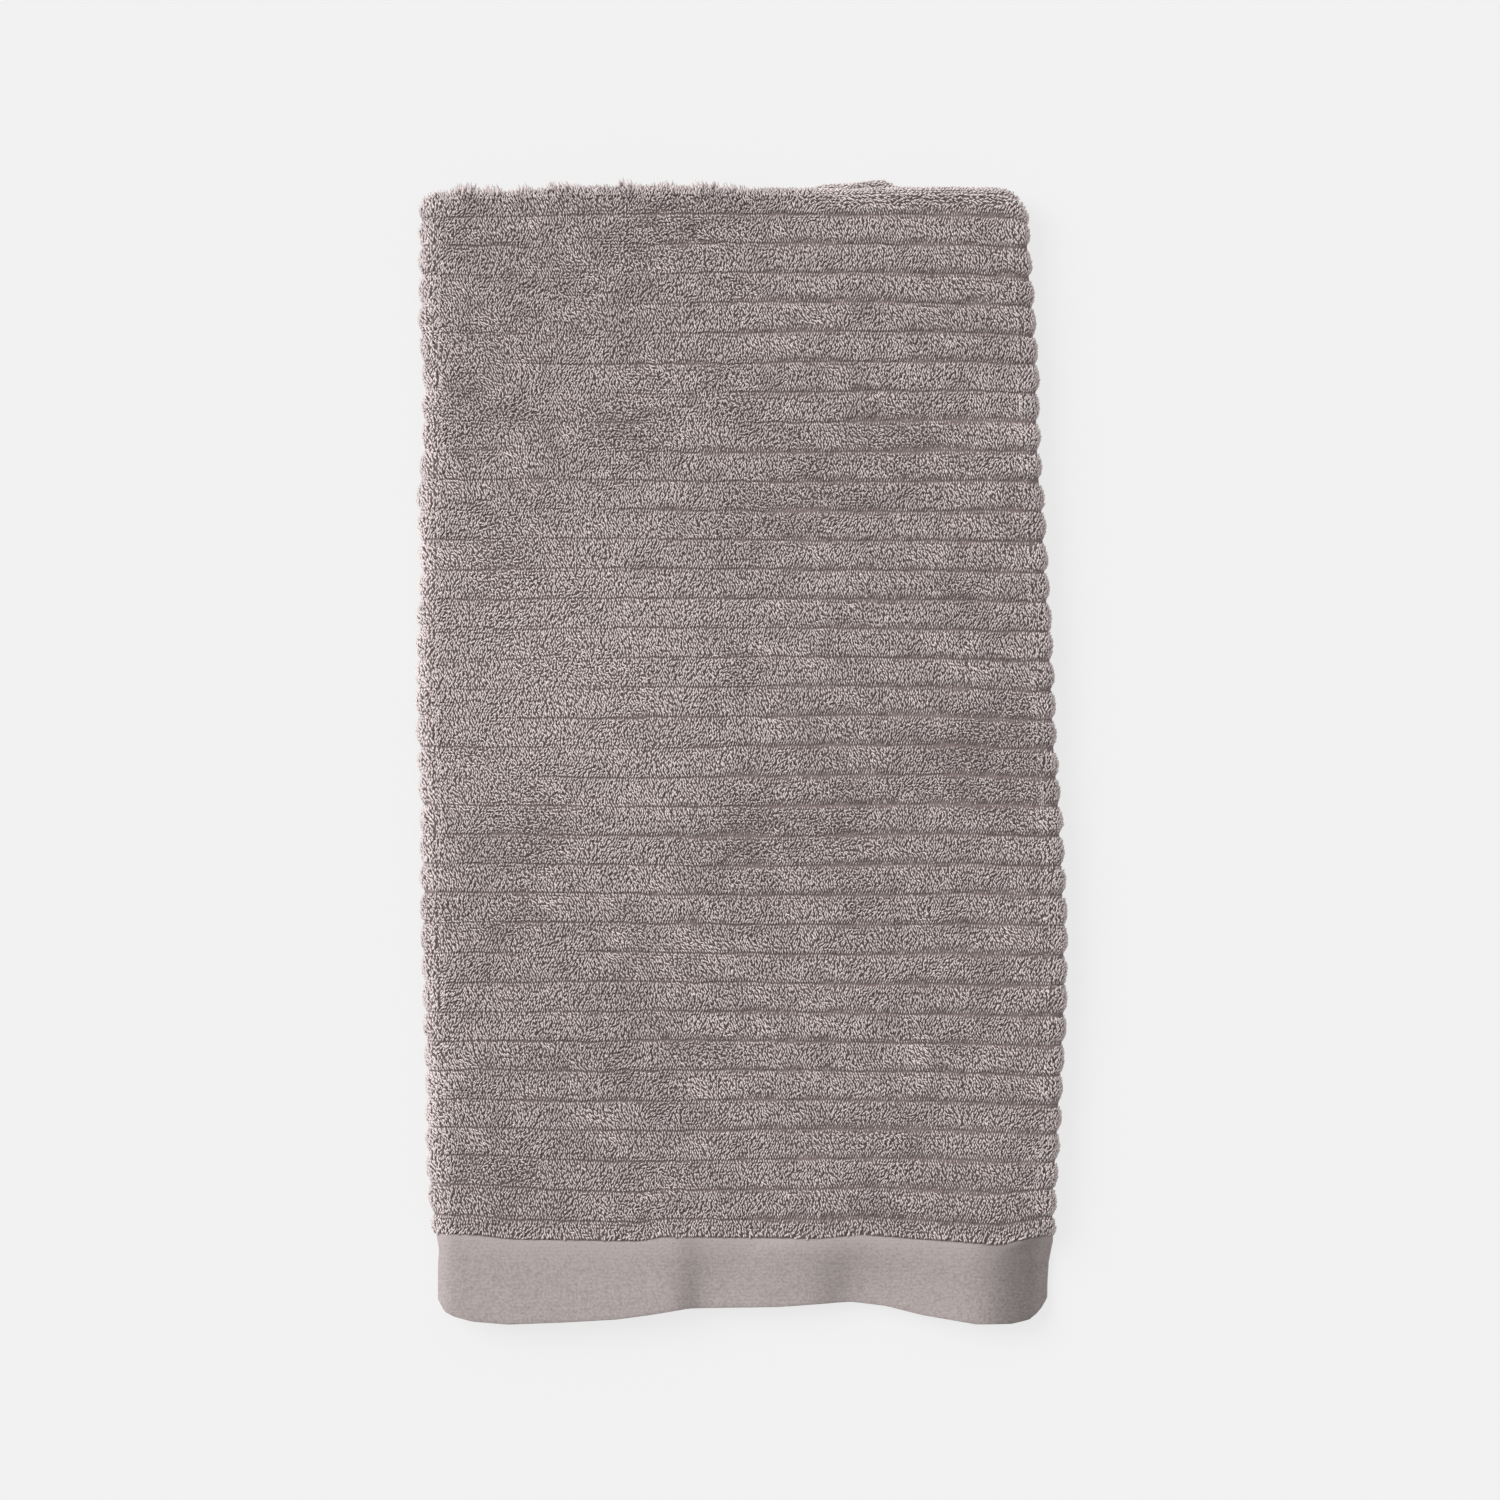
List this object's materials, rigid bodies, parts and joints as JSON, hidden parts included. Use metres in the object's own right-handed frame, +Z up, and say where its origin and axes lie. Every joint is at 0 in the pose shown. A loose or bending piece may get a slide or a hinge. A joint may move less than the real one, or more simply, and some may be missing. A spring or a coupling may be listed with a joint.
{
  "type": "folded bath towel",
  "caption": "Ribbed looped-cotton bath towel, folded in half across and then with both sides under, lying flat with its plain woven end band showing.",
  "frame": {"origin": "middle of the underside of the folded towel's bounding box, on the surface that it rests on", "axes": "+X across the folded towel to the right, +Y along it from the hem towards the crosswise fold, +Z up"},
  "size_m": [0.4004, 0.7052, 0.023],
  "materials": {
    "looped_cotton": "matte looped cotton pile with a smoother woven band"
  },
  "bodies": {
    "root": {"towel_cloth": "looped_cotton"}
  },
  "joints": []
}
